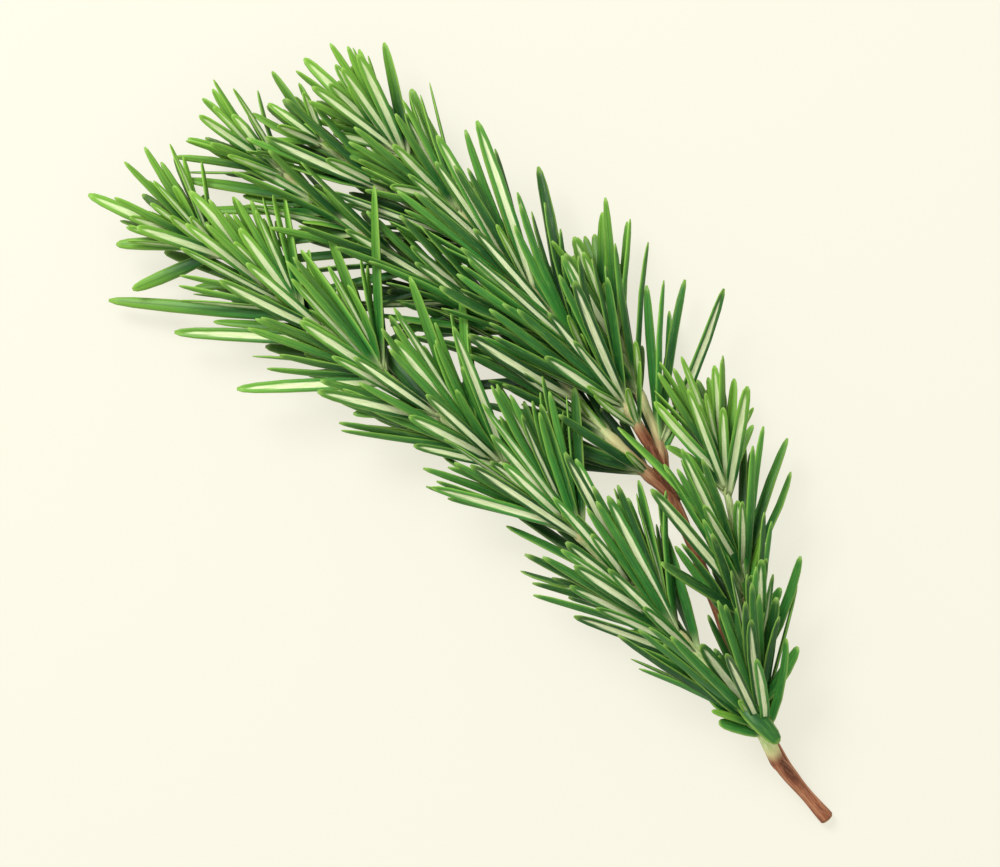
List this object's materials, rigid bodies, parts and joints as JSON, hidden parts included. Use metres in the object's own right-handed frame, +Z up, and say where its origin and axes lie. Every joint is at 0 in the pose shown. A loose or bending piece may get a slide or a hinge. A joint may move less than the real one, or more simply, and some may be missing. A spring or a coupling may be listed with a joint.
{
  "type": "rosemary sprig",
  "caption": "Cut, branched rosemary sprig lying on its side: a woody stem with leafy green shoots of narrow needle leaves.",
  "frame": {"origin": "on the table, under the middle of the sprig's bounding box", "axes": "+Z up from the table, +X along the sprig from the cut end to the leaf tips, +Y towards the front shoot"},
  "size_m": [0.175, 0.0728, 0.0285],
  "materials": {
    "bark": "matt, thin reddish-brown bark",
    "leaves": "satin green needle leaves, pale felt underneath"
  },
  "bodies": {
    "root": {"woody_stem": "bark", "front_shoot": "leaves", "upper_shoot": "leaves", "middle_shoot": "leaves", "right_shoot": "leaves", "outer_shoot": "leaves"}
  },
  "joints": []
}
